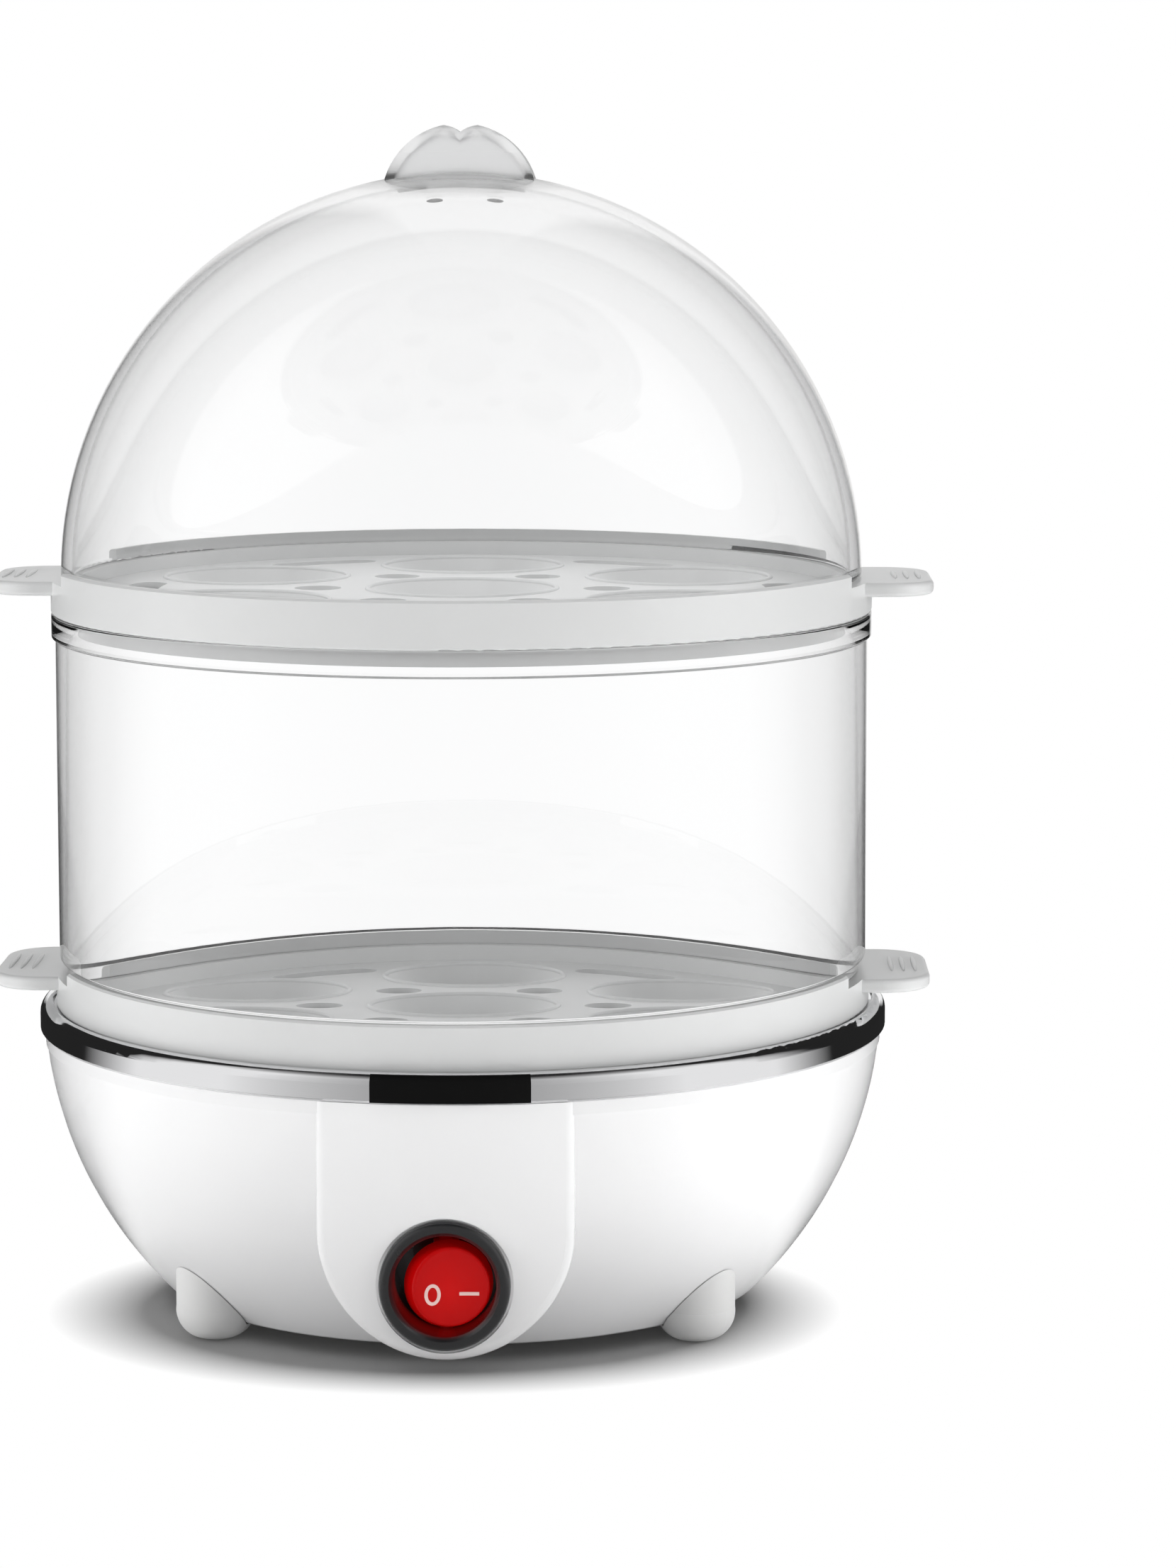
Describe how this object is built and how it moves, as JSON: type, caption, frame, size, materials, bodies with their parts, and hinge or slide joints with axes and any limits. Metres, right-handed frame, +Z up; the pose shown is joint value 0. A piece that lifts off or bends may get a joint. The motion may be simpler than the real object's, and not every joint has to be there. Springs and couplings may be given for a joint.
{
  "type": "egg boiler",
  "caption": "Two-layer electric egg boiler: white bowl base with round rocker switch, steel dish, egg trays, clear ring and clear domed lid with grip.",
  "frame": {"origin": "centre of the footprint, on the surface the feet stand on, under the common axis of bowl, trays and lid", "axes": "+Z up along the common axis; the switch faces -Y and the cord gland +Y; the tray ears point along +X and -X"},
  "size_m": [0.175, 0.1609, 0.2191],
  "materials": {
    "housing_white": "glossy white moulded polypropylene",
    "foot_white": "white silicone",
    "cover_white": "fine-grained white plastic",
    "screw_steel": "zinc plated steel",
    "dish_steel": "polished stainless steel",
    "seal_silicone": "translucent silicone",
    "plated_steel": "plated steel",
    "spreader_aluminium": "plain aluminium",
    "element_aluminium": "aluminium sheath, dulled by heat",
    "phenolic_black": "black phenolic",
    "tab_brass": "bare brass",
    "fuse_sleeve": "woven glass sleeve",
    "block_plastic": "cream nylon",
    "gland_rubber": "black rubber",
    "bezel_black": "glossy black nylon",
    "rocker_red": "clear red plastic, lit from behind when on",
    "lamp_glass": "clear glass lamp",
    "tray_white": "pale grey-white translucent polypropylene",
    "clear_plastic": "clear polystyrene"
  },
  "bodies": {
    "base": {"base_housing": "housing_white", "feet": "foot_white", "bottom_cover": "cover_white", "cover_screws": "screw_steel", "heating_dish": "dish_steel", "dish_seal": "seal_silicone", "dish_nuts": "plated_steel", "dish_washers": "plated_steel", "heat_spreader": "spreader_aluminium", "heating_element": "element_aluminium", "element_pins": "plated_steel", "thermostat": "phenolic_black", "thermostat_tabs": "tab_brass", "thermostat_strap": "plated_steel", "strap_nuts": "plated_steel", "thermal_fuse": "fuse_sleeve", "terminal_block": "block_plastic", "terminal_screws": "screw_steel", "cord_clamp": "phenolic_black", "cord_gland": "gland_rubber", "switch_body": "bezel_black", "switch_tabs": "tab_brass", "switch_lamp": "lamp_glass"},
    "rocker": {"switch_rocker": "rocker_red"},
    "lower_tray": {"lower_tray": "tray_white"},
    "ring": {"middle_ring": "clear_plastic"},
    "upper_tray": {"upper_tray": "tray_white"},
    "lid": {"dome_lid": "clear_plastic"}
  },
  "joints": [
    {"name": "rocker_tilt", "type": "hinge", "parent": "base", "child": "rocker", "pos_m": [0, -0.07259, 0.0195], "axis": [0, 0, 1], "range_deg": [-18, 0]},
    {"name": "lower_tray_lift", "type": "slide", "parent": "base", "child": "lower_tray", "axis": [0, 0, 1], "range_m": [0, 0.05]},
    {"name": "ring_lift", "type": "slide", "parent": "lower_tray", "child": "ring", "axis": [0, 0, 1], "range_m": [0, 0.08]},
    {"name": "upper_tray_lift", "type": "slide", "parent": "ring", "child": "upper_tray", "axis": [0, 0, 1], "range_m": [0, 0.05]},
    {"name": "lid_lift", "type": "slide", "parent": "upper_tray", "child": "lid", "axis": [0, 0, 1], "range_m": [0, 0.1]}
  ]
}
